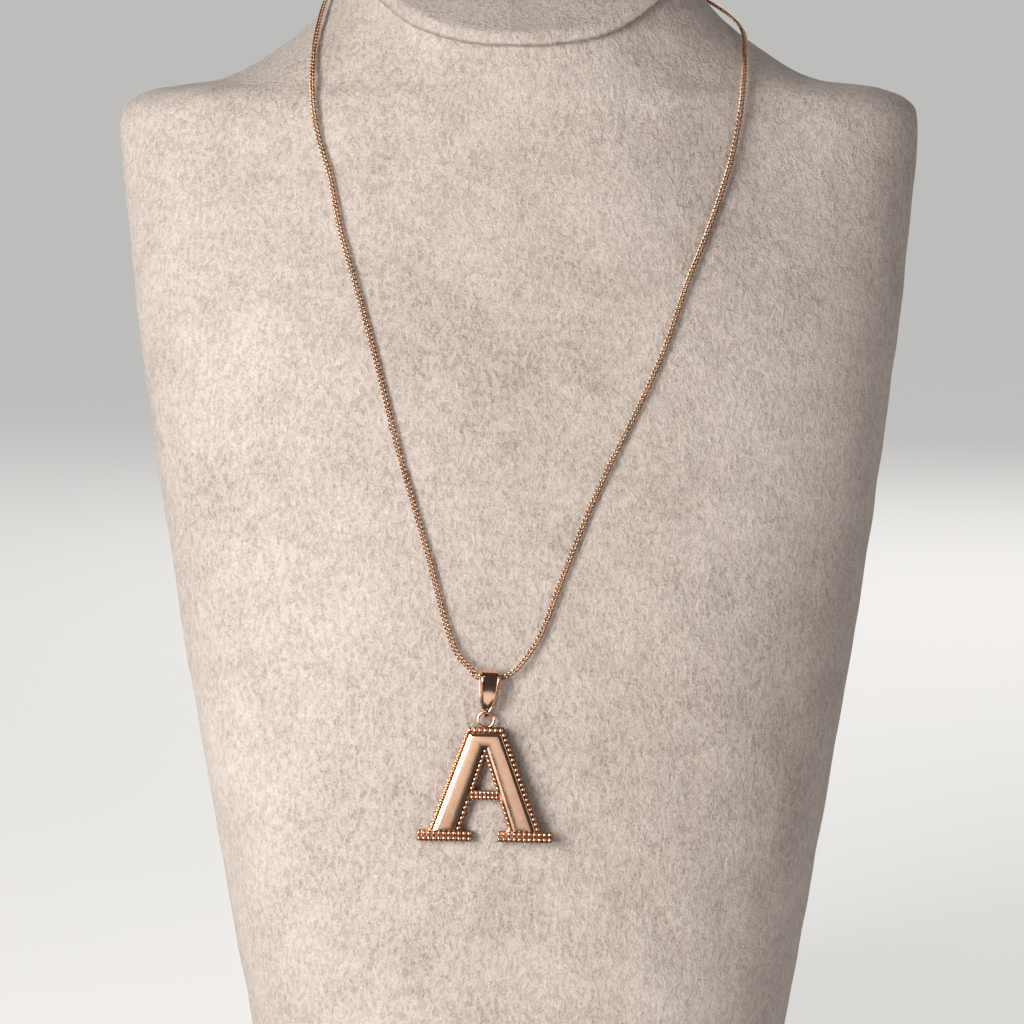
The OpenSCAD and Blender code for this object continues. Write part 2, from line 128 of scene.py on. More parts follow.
# %% [markdown]
# Many parts of a jewel are a section that is drawn out along a way: the bail is a strap, a link is a wire. By
# hand that is a circle whose points are moved into the shape of the section, extruded again and again. The
# next helper does the same. It starts from a circle, puts its points in place, extrudes them, puts the new
# points in place, and goes on to the last loop. A closed way is joined up by bridging its two ends.

# %% A helper that draws a section out along a way
def place_points(mesh, numbers, points):
    mesh.verts.ensure_lookup_table()
    for number, point in zip(numbers, points):
        mesh.verts[number].co = point


def extruded_from(vertex):
    others = (edge.other_vert(vertex) for edge in vertex.link_edges)
    return next(other.index for other in others if other.select)


def draw_out(name, loops, closed=False):
    bpy.ops.object.select_all(action="DESELECT")
    fill = "NOTHING" if closed else "NGON"
    bpy.ops.mesh.primitive_circle_add(vertices=len(loops[0]), radius=MM, fill_type=fill)
    obj = bpy.context.object
    obj.name = name
    bpy.ops.object.mode_set(mode="EDIT")
    bpy.ops.mesh.select_mode(type="VERT")
    bpy.ops.mesh.select_all(action="SELECT")
    numbers = first = list(range(len(loops[0])))
    place_points(bmesh.from_edit_mesh(obj.data), numbers, loops[0])
    for loop in loops[1:]:
        bpy.ops.mesh.extrude_region_move()
        mesh = bmesh.from_edit_mesh(obj.data)
        mesh.verts.ensure_lookup_table()
        numbers = [extruded_from(mesh.verts[n]) for n in numbers]
        place_points(mesh, numbers, loop)
    if closed:
        mesh = bmesh.from_edit_mesh(obj.data)
        mesh.verts.ensure_lookup_table()
        for n in first:
            mesh.verts[n].select = True
        mesh.select_flush(True)
        bpy.ops.mesh.bridge_edge_loops()
    bpy.ops.mesh.select_all(action="SELECT")
    bpy.ops.mesh.normals_make_consistent(inside=False)
    bpy.ops.object.mode_set(mode="OBJECT")
    return obj


# %% [markdown]
# What repeats, such as a bead or a link, is modelled once and copied. Each copy gets a mesh of its own, moved
# to its place, and the copies are joined into one piece. The model is thrown away afterwards.

# %% A helper that copies one model to many places
def copies(name, model, places):
    made = []
    for place in places:
        copy = bpy.data.objects.new(name, model.data.copy())
        bpy.context.scene.collection.objects.link(copy)
        copy.data.transform(place)
        made.append(copy)
    only(made[0])
    for copy in made:
        copy.select_set(True)
    bpy.ops.object.join()
    bpy.data.objects.remove(model)
    return bpy.context.object


# %% [markdown]
# ## Shader maths in plain Python
#
# A material is a net of nodes. Written out node by node it is hard to read, so this small class wraps one
# socket, and an expression such as `1 - mask * 0.5` adds the Math nodes that it needs. Every other node comes
# from the one method `node`, which takes the node's type, its settings, and the values or links of its
# sockets.

# %% A class for shader maths
class Socket:
    def __init__(self, tree, out=None):
        self.tree, self.out = tree, out

    def node(self, kind, settings=(), inputs=(), output=0):
        made = self.tree.nodes.new(kind)
        for name, value in dict(settings).items():
            if name == "stops":
                ramp = made.color_ramp.elements
                while len(ramp) < len(value):
                    ramp.new(0.5)
                for stop, (position, colour) in zip(ramp, value):
                    stop.position, stop.color = position, (*colour, 1)
            else:
                setattr(made, name, value)
        for name, value in dict(inputs).items():
            if isinstance(value, Socket):
                self.tree.links.new(value.out, made.inputs[name])
            else:
                made.inputs[name].default_value = value
        return Socket(self.tree, made.outputs[output])

    def maths(self, operation, *values):
        return self.node("ShaderNodeMath", {"operation": operation}, enumerate(values))

    def __add__(self, other):
        return self.maths("ADD", self, other)

    def __sub__(self, other):
        return self.maths("SUBTRACT", self, other)

    def __rsub__(self, other):
        return self.maths("SUBTRACT", other, self)

    def __mul__(self, other):
        return self.maths("MULTIPLY", self, other)

    def __abs__(self):
        return self.maths("ABSOLUTE", self)

    __radd__ = __add__
    __rmul__ = __mul__

    def vector_maths(self, operation, other):
        return self.node("ShaderNodeVectorMath", {"operation": operation}, {0: self, 1: other}, 1)

    def between(self, low, high):
        steps = {"interpolation_type": "SMOOTHSTEP"}
        return self.node("ShaderNodeMapRange", steps, {"Value": self, "From Min": low, "From Max": high})

    def colours(self, first, second):
        mixed = {"data_type": "RGBA"}
        first, second = (c if isinstance(c, Socket) else (*c, 1) for c in (first, second))
        return self.node("ShaderNodeMix", mixed, {0: self, 6: first, 7: second}, 2)


# %% [markdown]
# The second class is one material. It opens with the shader that Blender gives a new material, sets what is
# the same all over, and offers what nearly every finish here needs: noise on the object's own coordinates, a
# bump, and a way to feed what changes over the surface into the shader.

# %% A class for one material
class Material:
    def __init__(self, name, **constants):
        self.material = bpy.data.materials.new(name)
        self.material.use_nodes = True
        self.tree = self.material.node_tree
        self.shader = self.tree.nodes["Principled BSDF"]
        for socket, value in constants.items():
            self.shader.inputs[socket.replace("_", " ")].default_value = value
        self.start = Socket(self.tree)
        self.place = self.start.node("ShaderNodeTexCoord", output=3)

    def noise(self, size, detail=2.0, roughness=0.5, stretch=None, **inputs):
        place = self.place
        if stretch:
            place = place.node("ShaderNodeMapping", (), {0: place, 3: stretch})
        values = {"Vector": place, "Scale": 1 / size, "Detail": detail, "Roughness": roughness, **inputs}
        return self.start.node("ShaderNodeTexNoise", (), values)

    def feed(self, **sockets):
        for socket, value in sockets.items():
            self.tree.links.new(value.out, self.shader.inputs[socket.replace("_", " ")])

    def bump(self, height, depth, under=None):
        values = {"Height": height, "Distance": depth, "Strength": 1.0}
        if under:
            values["Normal"] = under
        return self.start.node("ShaderNodeBump", (), values)

    def on(self, obj):
        obj.data.materials.clear()
        obj.data.materials.append(self.material)
        return obj


# %% [markdown]
# ## The velvet of the bust
#
# The cover is a short-pile velvet, pulled over a moulded form. Its pile leans this way and that, so it is
# mottled at four sizes: specks of half a millimetre where the tufts end, short curls a millimetre or two long
# where the pile has parted, soft patches as wide as a thumb where a hand has brushed it, and a slow drift of
# tone across the whole. A picture of velvet would do this too, but it would stretch over the shoulders. Noise
# on the object's own coordinates has the same grain everywhere.

# %% The velvet
TUFT_SIZE, CURL_SIZE, PATCH_SIZE, DRIFT_SIZE = 0.5 * MM, 1.15 * MM, 14 * MM, 70 * MM
TUFT_SHARE, CURL_SHARE, PATCH_SHARE, DRIFT_SHARE = 0.44, 0.32, 0.13, 0.11
TUFT_DEPTH, CURL_DEPTH, PATCH_DEPTH = 0.42 * MM, 0.36 * MM, 1.0 * MM
CURL_STRETCH = (1, 1, 0.6)
PILE_COLOURS = [
    (0.12, (0.330, 0.268, 0.230)),
    (0.35, (0.490, 0.415, 0.368)),
    (0.60, (0.610, 0.528, 0.480)),
    (0.88, (0.735, 0.655, 0.605)),
]

velvet = Material(
    "velvet_cover", Roughness=0.92, Specular_IOR_Level=0.15,
    Sheen_Weight=0.35, Sheen_Roughness=0.45, Sheen_Tint=(0.96, 0.93, 0.90, 1),
)
tufts = velvet.noise(TUFT_SIZE, detail=3, roughness=0.7)
curls = velvet.noise(CURL_SIZE, detail=2, roughness=0.6, stretch=CURL_STRETCH, Distortion=0.5)
brushed = velvet.noise(PATCH_SIZE, detail=3, roughness=0.55, Distortion=0.6)
drift = velvet.noise(DRIFT_SIZE, detail=1)

shade = (
    tufts.between(0.25, 0.75) * TUFT_SHARE
    + curls.between(0.30, 0.66) * CURL_SHARE
    + brushed.between(0.3, 0.7) * PATCH_SHARE
    + drift.between(0.35, 0.65) * DRIFT_SHARE
)
pile = shade.node("ShaderNodeValToRGB", {"stops": PILE_COLOURS}, {0: shade})
nap = velvet.bump(brushed, PATCH_DEPTH)
nap = velvet.bump(curls, CURL_DEPTH, nap)
nap = velvet.bump(tufts, TUFT_DEPTH, nap)
velvet.feed(Base_Color=pile, Normal=nap)
print("Velvet has", len(velvet.tree.nodes), "nodes")

# %% [markdown]
# ## The body of the bust
#
# The CAD bust has the right shape, but its surface is a stack of crisp sections. Cloth never has a crisp
# edge: it rounds off every corner of the form below it. A copy of the CAD mesh is cut with a plane, remeshed
# into small even faces and smoothed. Then its points are moved a few tenths of a millimetre by a slow noise,
# because glued cloth is never quite flat, and one small pucker is pressed in where the cloth is gathered at
# the front of the neck.
#
# Each finished piece then takes up to three calls: it is hung on the empty of the body that it rides on when
# the model moves, the CAD piece that it takes the place of is hidden, and it is given the finish that it
# wears.

# %% Helpers that put cloth over a form
def joined_copy(node, name):
    obj = bpy.data.objects.new(name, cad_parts[node].data.copy())
    bpy.context.scene.collection.objects.link(obj)
    obj.data.materials.clear()
    only(obj)
    bpy.ops.object.mode_set(mode="EDIT")
    bpy.ops.mesh.select_all(action="SELECT")
    bpy.ops.mesh.remove_doubles(threshold=0.001 * MM)
    bpy.ops.object.mode_set(mode="OBJECT")
    return obj


def cut_away(obj, point, normal, lift=(0, 0, 0)):
    """Cut off what lies past a plane. The cut face stays selected, and is lifted."""
    only(obj)
    bpy.ops.object.mode_set(mode="EDIT")
    bpy.ops.mesh.select_all(action="SELECT")
    bpy.ops.mesh.bisect(plane_co=point, plane_no=normal, use_fill=True, clear_outer=True)
    bpy.ops.transform.translate(value=lift)
    bpy.ops.object.mode_set(mode="OBJECT")
    return obj


def cover(obj, grain, passes=5):
    only(obj)
    obj.data.remesh_voxel_size = grain
    bpy.ops.object.voxel_remesh()
    return modify(obj, "SMOOTH", factor=0.5, iterations=passes)


def push_points(obj, distance):
    moved = []
    for vertex in obj.data.vertices:
        moved.extend(vertex.co + vertex.normal * distance(vertex.co))
    obj.data.vertices.foreach_set("co", moved)
    obj.data.update()
    return obj


def ruffle(obj, size, depth):
    return push_points(obj, lambda at: depth * noise.fractal(at / size, 0.6, 2.0, 2))


def pinch(obj, centre, radius, depth):
    return push_points(obj, lambda at: -depth * math.exp(-((at - centre).length / radius) ** 2))


# %% [markdown]
# The top of the neck is a slanted oval. Its lowest point is in front and its highest behind, and the plane
# through the two is where the bust ends and its cap begins. The cut face is lifted by the thickness that the
# pile adds, and so the rim stands a little proud of the CAD bust.

# %% Cut the bust below its neck cap and cover it
NECK_FRONT = Vector((0, -13.5, 267.5)) * MM
NECK_BACK = Vector((0, 45.1, 319.0)) * MM
PILE_LIFT = Vector((0, 0, 1.9)) * MM
RIM_DROP = 0.25 * MM
PUCKER = Vector((16.1, -14.5, 269.5)) * MM

slope = (NECK_BACK - NECK_FRONT).normalized()
cap_normal = Vector((0, -slope.z, slope.y))
bust = joined_copy("bust", "velvet_bust")
cut_away(bust, NECK_FRONT - cap_normal * RIM_DROP, cap_normal, PILE_LIFT)
cover(bust, grain=1.6 * MM)
ruffle(bust, size=18 * MM, depth=0.35 * MM)
pinch(bust, PUCKER, radius=2.0 * MM, depth=0.9 * MM)
smooth(bust)
velvet.on(bust)
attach(bust, "stand")
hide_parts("bust")
print("The bust has", len(bust.data.polygons), "faces")

# %% [markdown]
# ## The cap of the neck
#
# On the real bust a disc of board is covered with the same velvet and glued on top of the neck. The two
# rounded edges meet in a fine crease, which the camera sees as a dark line. The cap is the slice that was cut
# away, raised by the gap of the crease, and remeshed more finely, because its edge is under two millimetres
# thick.

# %% Make the neck cap
CAP_THICKNESS = 1.7 * MM
CAP_GAP = 1.5 * MM

cap = joined_copy("bust", "neck_cap")
cut_away(cap, NECK_FRONT - cap_normal * CAP_THICKNESS, -cap_normal)
bpy.ops.transform.translate(value=PILE_LIFT + cap_normal * CAP_GAP)
settle(cap)
cover(cap, grain=0.7 * MM)
ruffle(cap, size=14 * MM, depth=0.3 * MM)
smooth(cap)
velvet.on(cap)
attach(cap, "stand")
print("The cap has", len(cap.data.polygons), "faces")

# %% [markdown]
# In the crease the pile is pressed flat, and it looks dark because hardly any light gets in. The two edges
# alone would be too clean, so shade is painted into the velvet's colour there. The first mask is one on the
# plane of the crease and falls to nothing within a millimetre of it. The second keeps the painted shade to
# the neck, because the same plane also runs through the shoulders.

# %% Paint shade into the crease
CREASE_DROP = 0.2 * MM
CREASE_FULL, CREASE_GONE = 0.1 * MM, 0.8 * MM
NECK_FULL, NECK_GONE = 44 * MM, 48 * MM
CREASE_SHADE_COLOUR, CREASE_SHADE_SHARE = (0.13, 0.10, 0.085), 0.6

crease_at = NECK_FRONT + PILE_LIFT - cap_normal * CREASE_DROP
neck_middle = (NECK_FRONT + NECK_BACK) / 2 + PILE_LIFT
above = velvet.place.vector_maths("DOT_PRODUCT", cap_normal) - crease_at.dot(cap_normal)
from_neck = velvet.place.vector_maths("DISTANCE", neck_middle)
on_crease = 1 - abs(above).between(CREASE_FULL, CREASE_GONE)
on_neck = 1 - from_neck.between(NECK_FULL, NECK_GONE)
# Painted shade: the velvet's colour is darkened on the crease at the front of the neck.
velvet.feed(Base_Color=(on_crease * on_neck * CREASE_SHADE_SHARE).colours(pile, CREASE_SHADE_COLOUR))
print("Velvet now has", len(velvet.tree.nodes), "nodes")

# %% [markdown]
# ## Rose gold
#
# Rose gold is gold with copper. Its colour comes from what it reflects, tinted by the metal, so the material
# is mostly a plain mirror. What makes it look worn rather than drawn is small: a finish that is a little
# rougher here and there, hairlines from wiping, and a slow wave left by the polishing wheel. Where beads and
# links meet, the metal in the gaps is painted brown and made rougher: partly the dust and polish that stay
# there, partly painted shade where little light gets in. The same finish comes in a few grades, from the
# mirror of the bail to the duller cast ground between the beads, whose darker colour is painted shade.

# %% Grades of rose gold
GOLD = (0.95, 0.61, 0.43)
COPPER = (0.86, 0.43, 0.23)
DUST_AND_SHADE = (0.085, 0.030, 0.013)
COPPER_SHARE = 0.35
CLOUD_SIZE, HAIR_SIZE, WAVE_SIZE = 2.2 * MM, 0.35 * MM, 5 * MM
CLOUD_ROUGHNESS, HAIR_ROUGHNESS, DUST_ROUGHNESS = 0.5, 0.05, 0.25
HAIR_STRETCH = (1, 1, 0.08)
HAIR_DEPTH = 0.002 * MM


def rose_gold(name, rough, wave, gap_dust_and_shade=0.0, reach=0.45 * MM, light=GOLD, copper=COPPER):
    gold = Material(name, Metallic=1.0)
    cloud = gold.noise(CLOUD_SIZE, detail=3)
    hair = gold.noise(HAIR_SIZE, detail=2, stretch=HAIR_STRETCH)
    slow = gold.noise(WAVE_SIZE, detail=1)
    colour = (cloud.between(0.3, 0.75) * COPPER_SHARE).colours(light, copper)
    roughness = rough + cloud * rough * CLOUD_ROUGHNESS + hair.between(0.55, 0.8) * HAIR_ROUGHNESS
    # Dust and painted shade: where ambient occlusion finds metal close by, the colour goes to dark brown and
    # the roughness rises.
    if gap_dust_and_shade:
        open_air = gold.start.node("ShaderNodeAmbientOcclusion", {"samples": 8}, {"Distance": reach}, 1)
        dust_and_shade = (1 - open_air.between(0.3, 0.95)) * gap_dust_and_shade
        colour = dust_and_shade.colours(colour, DUST_AND_SHADE)
        roughness = roughness + dust_and_shade * DUST_ROUGHNESS
    polish = gold.bump(hair, HAIR_DEPTH, gold.bump(slow, wave))
    gold.feed(Base_Color=colour, Roughness=roughness, Normal=polish)
    print(name, "has", len(gold.tree.nodes), "nodes")
    return gold


mirror = rose_gold("rose_gold_mirror", rough=0.08, wave=0.03 * MM)
satin = rose_gold("rose_gold_face", rough=0.14, wave=0.05 * MM)
# Beads, plate and chain are browned in their gaps, part dust and part painted shade.
beaded = rose_gold("rose_gold_beads", rough=0.20, wave=0.01 * MM, gap_dust_and_shade=0.9)
# The plate's darker colours are painted shade on the ground between the beads.
shaded_plate_gold = rose_gold(
    "rose_gold_plate", rough=0.22, wave=0.02 * MM, gap_dust_and_shade=1.0, reach=0.9 * MM,
    light=(0.40, 0.185, 0.10), copper=(0.26, 0.105, 0.05),
)
wire = rose_gold(
    "rose_gold_chain", rough=0.15, wave=0.01 * MM, gap_dust_and_shade=1.0, reach=0.8 * MM,
    light=(0.93, 0.56, 0.34), copper=(0.78, 0.36, 0.16),
)

# %% [markdown]
# ## The curb chain
#
# A curb chain is made from oval links that are all alike. Each link is twisted, its two ends about a third of
# a turn apart, so that it passes through its neighbours and the whole chain still lies flat. One link is
# modelled here as a thin wire drawn out along a twisted oval, with few faces, because the chain has hundreds
# of them.

# %% Model one link
PITCH = 1.1 * MM
WIRE = 0.42 * MM
LINK_LENGTH = PITCH + 2 * WIRE
LINK_WIDTH = 1.55 * MM
TWIST = math.radians(62)


def link_way(steps):
    half, side = (LINK_LENGTH - WIRE) / 2, (LINK_WIDTH - WIRE) / 2
    way = []
    for i in range(steps):
        turn = 2 * math.pi * i / steps
        out = side * math.sin(turn)
        twist = TWIST * math.cos(turn)
        way.append(Vector((half * math.cos(turn), out * math.cos(twist), out * math.sin(twist))))
    return way


def link_loops(steps=12, sides=6):
    way = link_way(steps)
    turns = [2 * math.pi * j / sides for j in range(sides)]
    loops = []
    for i, point in enumerate(way):
        ahead = (way[(i + 1) % steps] - way[i - 1]).normalized()
        out = (point - ahead * point.dot(ahead)).normalized()
        up = ahead.cross(out)
        loops.append([point + WIRE / 2 * (math.cos(a) * out + math.sin(a) * up) for a in turns])
    return loops


link = smooth(draw_out("link", link_loops(), closed=True))
print("A link has", len(link.data.polygons), "faces")

# %% [markdown]
# The links go along the way that the CAD chain takes. That is a tube of eight-sided loops, so its middle line
# is found by starting at one end and walking from loop to loop: each next loop is made of the neighbours that
# haven't been visited. The walk starts at the end of the clasp's collar, and a smooth curve is laid through
# the middles.

# %% Walk along the CAD chain
CLASP_AT = Vector((0, 46.6121, 286.45)) * MM
COLLAR_END = Vector((5.2, 0, 0)) * MM


def middle_line(node, start, sides=8):
    tube = joined_copy(node, "tube")
    mesh = bmesh.new()
    mesh.from_mesh(tube.data)
    mesh.verts.ensure_lookup_table()
    loop = sorted(mesh.verts, key=lambda v: (v.co - start).length)[:sides]
    seen, line = set(loop), []
    while loop:
        line.append(sum((v.co for v in loop), Vector()) / len(loop))
        neighbours = {e.other_vert(v) for v in loop for e in v.link_edges} - seen
        loop = sorted(neighbours, key=lambda v: v.index)
        seen |= set(loop)
    mesh.free()
    bpy.data.objects.remove(tube)
    return line


def fine_line(line, steps=24):
    last = len(line) - 1
    fine = []
    for i in range(last):
        a, b, c, d = (line[min(max(i + k, 0), last)] for k in (-1, 0, 1, 2))
        run, bend, swing = c - a, 2 * a - 5 * b + 4 * c - d, 3 * b - a - 3 * c + d
        for t in (k / steps for k in range(steps)):
            fine.append(0.5 * (2 * b + run * t + bend * t**2 + swing * t**3))
    return fine + [line[last]]


way = fine_line(middle_line("chain", CLASP_AT - COLLAR_END))
lengths = [0.0]
for a, b in zip(way, way[1:]):
    lengths.append(lengths[-1] + (b - a).length)
print("The chain is", round(lengths[-1] / MM, 1), "mm long, through", len(way), "points")

# %% [markdown]
# The links are set along the curve at even steps. Each one points the way that the curve runs, and lies flat
# on the velvet below it: its up is the direction from the nearest point of the cloth. A real chain is laid
# down like this by its own weight. An array along a curve could do it too, but it bends and stretches what it
# repeats, and links are stiff.

# %% Lay the links along it
REACH = 0.7
count = round(lengths[-1] / PITCH)
step = lengths[-1] / count
cloth = BVHTree.FromObject(bust, bpy.context.evaluated_depsgraph_get())


def along(distance):
    low = min(bisect_right(lengths, distance), len(lengths) - 1) - 1
    share = (distance - lengths[low]) / (lengths[low + 1] - lengths[low])
    return way[low].lerp(way[low + 1], share)


def link_place(middle):
    here = along(middle * step)
    before, after = max((middle - REACH) * step, 0), min((middle + REACH) * step, lengths[-1])
    ahead = (along(after) - along(before)).normalized()
    away = here - cloth.find_nearest(here)[0]
    up = (away - ahead * away.dot(ahead)).normalized()
    return Matrix.Translation(here) @ Matrix((ahead, up.cross(ahead), up)).transposed().to_4x4()


chain = copies("curb_chain", link, [link_place(i + 0.5) for i in range(count)])
wire.on(chain)
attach(chain, "stand")
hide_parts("chain")
print("The chain has", count, "links and", len(chain.data.polygons), "faces")

# %% [markdown]
# ## The clasp
#
# The clasp lies behind the neck. Its CAD form is right as it is, a ring with a collar on each side, and it
# only needs the metal.

# %% Give the clasp its metal
clasp = mirror.on(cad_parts["clasp"])
print("The clasp measures", [round(d / MM, 1) for d in clasp.dimensions], "mm")

# %% [markdown]
# ## The bail
#
# The bail is a strip of metal that is wide at the top and narrow at the foot, bent into a loop. A curve with
# a flat profile could make it, but its rims would grow thin where it narrows, so the section is worked out
# anew all the way round. The loop is laid out in its side view, in millimetres: a half circle over the chain,
# a smaller one under the letter's ring, and the two straight runs between them. Each station on it has a
# point and the direction that faces outwards.

# %% The way round the bail
BAIL_AT = Vector((-7.1, -50.6851, 118.606))
BAIL_LEAN, BAIL_ROLL, BAIL_YAW = -0.420165, 5, 10
BAIL_WIDTH, BAIL_LENGTH, STRAP = 4.5, 7.7, 0.8
TOP_RADIUS, EYE_RADIUS = 1.5, 0.7
TOP_MIDDLE = -0.575
FOOT_MIDDLE = TOP_MIDDLE - BAIL_LENGTH
TOP_STEPS, EYE_STEPS, FRONT_STEPS, BACK_STEPS = 24, 16, 20, 8


def half_turn(start, end, steps, radius, middle):
    stations = []
    for i in range(steps + 1):
        turn = start + (end - start) * i / steps
        out = Vector((math.cos(turn), math.sin(turn)))
        stations.append((Vector((radius * out.x, middle + radius * out.y)), out))
    return stations


def straight(start, end, steps):
    return [(start[0].lerp(end[0], k / steps), start[1]) for k in range(1, steps)]


def bail_way():
    lean = math.asin((TOP_RADIUS - EYE_RADIUS) / BAIL_LENGTH)
    top = half_turn(-lean, math.pi + lean, TOP_STEPS, TOP_RADIUS, TOP_MIDDLE)
    eye = half_turn(math.pi + lean, 2 * math.pi - lean, EYE_STEPS, EYE_RADIUS, FOOT_MIDDLE)
    front, back = straight(top[-1], eye[0], FRONT_STEPS), straight(eye[-1], top[0], BACK_STEPS)
    return top + front + eye + back


print("The way round the bail has", len(bail_way()), "stations")

# %% [markdown]
# Raised rims run down the front of the bail, with a polished hollow between them. The section is a strip with
# two rims, and its width at each depth comes from the outline that the bail shows in front. The hollow starts
# below the top bend and runs out above the foot, the front is bowed a little forward, and the back is plain.
# In the shape of the rim, each pair is a share of its width, counted inwards, and a drop below its crest. In
# the outline, each pair is a share of the bail's height, counted down, and a share of its full width.

# %% Draw the bail out
RIM_WIDEST, RIM_SHARE = 0.45, 0.45
BACK_CORNER, FRONT_CORNER, HOLLOW_CORNER = 0.1, 0.25, 0.04
RIM_SHAPE = [(0.06, 0.155), (0.34, 0.07), (0.62, 0), (0.84, 0.02)]
HOLLOW, HOLLOW_STARTS, HOLLOW_ENDS = 0.2, (0.09, 0.15), (0.82, 0.86)
WALL_SUNK, SIDE_SUNK, MIDDLE_SUNK, FLOOR_SIDE = 0.5, 0.75, 0.6, 0.55
BOW, BOW_FROM, BOW_TO = 0.26, 0.1, 0.82
BAIL_OUTLINE = [
    (0.00, 0.86), (0.04, 0.97), (0.10, 1.00), (0.30, 0.92), (0.50, 0.82), (0.66, 0.70),
    (0.76, 0.57), (0.82, 0.41), (0.85, 0.26), (1.00, 0.24),
]


def share_of(low, high, value):
    return min(max((value - low) / (high - low), 0), 1)


def ease(low, high, value):
    share = share_of(low, high, value)
    return share * share * (3 - 2 * share)


def from_table(rows, at):
    if at <= rows[0][0]:
        return rows[0][1]
    for (a, low), (b, high) in zip(rows, rows[1:]):
        if at <= b:
            return low + (high - low) * (at - a) / (b - a)
    return rows[-1][1]


def bail_section(half, sunk):
    """From the back, up the side, over the rim and along the bowed floor of the hollow"""
    rim = min(RIM_WIDEST, half * RIM_SHARE)
    inner = half - rim
    right = [
        (half - BACK_CORNER, 0), (half, BACK_CORNER), (half, STRAP - FRONT_CORNER),
        *((half - rim * share, STRAP - drop) for share, drop in RIM_SHAPE),
        (inner, STRAP - WALL_SUNK * sunk), (inner - HOLLOW_CORNER, STRAP - sunk),
        (inner * FLOOR_SIDE, STRAP - SIDE_SUNK * sunk),
    ]
    return [*right, (0, STRAP - MIDDLE_SUNK * sunk), *((-x, v) for x, v in reversed(right))]


def bail_loops():
    top, foot = TOP_MIDDLE + TOP_RADIUS + STRAP, FOOT_MIDDLE - EYE_RADIUS - STRAP
    loops = []
    for point, out in bail_way():
        outside = point + out * STRAP
        depth = (top - outside.y) / (top - foot)
        front = 1.0 if outside.x < 0 else 0.0
        sunk = HOLLOW * front * ease(*HOLLOW_STARTS, depth) * (1 - ease(*HOLLOW_ENDS, depth))
        bow = BOW * front * (1 - (2 * share_of(BOW_FROM, BOW_TO, depth) - 1) ** 2)
        section = bail_section(from_table(BAIL_OUTLINE, depth) * BAIL_WIDTH / 2, sunk)
        flat_points = [(x, point + out * (bow + v)) for x, v in section]
        loops.append([Vector((x, place.x, place.y)) * MM for x, place in flat_points])
    return loops


bail_place = (
    Matrix.Translation(BAIL_AT * MM)
    @ Matrix.Rotation(math.radians(BAIL_YAW), 4, "Z")
    @ Matrix.Rotation(math.radians(BAIL_ROLL), 4, "Y")
    @ Matrix.Rotation(math.radians(-BAIL_LEAN), 4, "X")
)
bail = settle(draw_out("bail_polished", bail_loops(), closed=True), bail_place)
smooth(bail, angle=50)
mirror.on(bail)
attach(bail, "bail")
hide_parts("bail")
print("The bail has", len(bail.data.polygons), "faces")

# %% [markdown]
# ## The letter's plate
#
# The letter is cast in one with its beads. It is modelled in its own flat frame, with x across, z up and the
# front towards -y, and then leaned and turned into its place below the bail. Its main sizes are the same as
# in the CAD model, in millimetres. The legs spread evenly downwards, so each of their edges is a start and a
# rate.

# %% The letter's sizes
LETTER_AT = Vector((-7.82078, -50.7505, 110.362))
LETTER_LEAN, LETTER_YAW = 6.56355, 6
HEIGHT, WIDTH, TOP_WIDTH, LEGS = 27.3, 32.5, 8.7, 27
FOOT_WIDTH, FOOT_HEIGHT, PLATE = 13.25, 2.6, 1.9
COUNTER_TOP, GAP, BAR_TOP, BAR_HEIGHT = 7.2, 11.7, 15, 2.3
CORNER = 0.8
RING_RADIUS, RING_WIRE, RING_UP = 1.9, 0.7, 1.8

FOOT_TOP = HEIGHT - FOOT_HEIGHT
FOOT_IN = WIDTH / 2 - FOOT_WIDTH
OUTER_RATE = (LEGS - TOP_WIDTH) / 2 / FOOT_TOP
INNER_RATE = GAP / 2 / (FOOT_TOP - COUNTER_TOP)
OUTER_RUN = math.hypot(1, OUTER_RATE)
INNER_RUN = math.hypot(1, INNER_RATE)
letter_place = (
    Matrix.Translation(LETTER_AT * MM)
    @ Matrix.Rotation(math.radians(-LETTER_YAW), 4, "Z")
    @ Matrix.Rotation(math.radians(-LETTER_LEAN), 4, "X")
    @ Matrix.Translation((0, 0, -(RING_RADIUS + RING_UP) * MM))
)


def outer_x(depth):
    return TOP_WIDTH / 2 + OUTER_RATE * depth


def inner_x(depth):
    return INNER_RATE * (depth - COUNTER_TOP)


print("The legs lean", round(math.degrees(math.atan(OUTER_RATE))), "degrees outwards")

# %% [markdown]
# Text made solid would be a quick letter, but a typeface has its own widths and its own serifs. So the
# outline is drawn for the right half, from the top down round the foot and up to the bar, and mirrored for
# the left. Every corner but the top one is a small arc, because a mould has no sharp inner corners and the
# polishing takes the outer ones away.

# %% The letter's outline
def arc(x, z, radius, start, end, steps=6):
    turns = [math.radians(start + (end - start) * i / steps) for i in range(steps + 1)]
    return [(x + radius * math.cos(a), z + radius * math.sin(a)) for a in turns]


